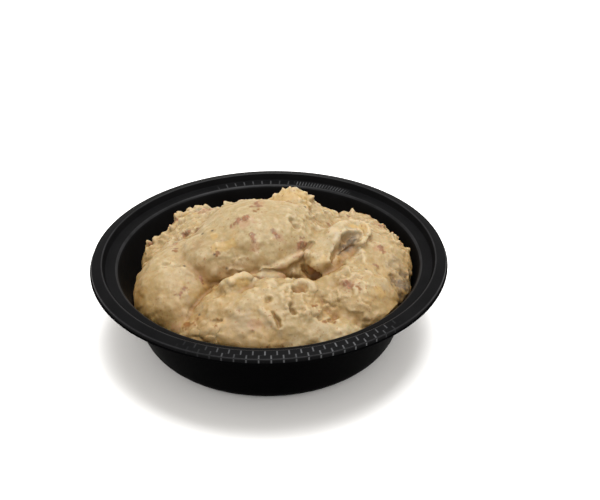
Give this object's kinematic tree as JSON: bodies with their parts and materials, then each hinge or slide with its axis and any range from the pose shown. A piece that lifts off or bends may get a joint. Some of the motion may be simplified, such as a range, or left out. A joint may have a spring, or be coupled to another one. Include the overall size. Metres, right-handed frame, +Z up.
{
  "type": "mashed potato side in its bowl",
  "caption": "Round black plastic takeaway bowl filled with a heaped side of chunky red-skin mashed potato in several pressed-together scoops.",
  "frame": {"origin": "centre of the bowl's foot ring, on the surface it stands on", "axes": "+Z up, out of the bowl; -Y is the near side, where the heap slopes down to the rim in one wide scoop"},
  "size_m": [0.1848, 0.1848, 0.0738],
  "materials": {
    "bowl": "black polypropylene, fairly glossy, with a satin inner wall",
    "mash": "moist cream-coloured mashed potato with flecks and curls of red-brown skin"
  },
  "bodies": {
    "root": {"bowl": "bowl", "mashed_potato": "mash"}
  },
  "joints": []
}
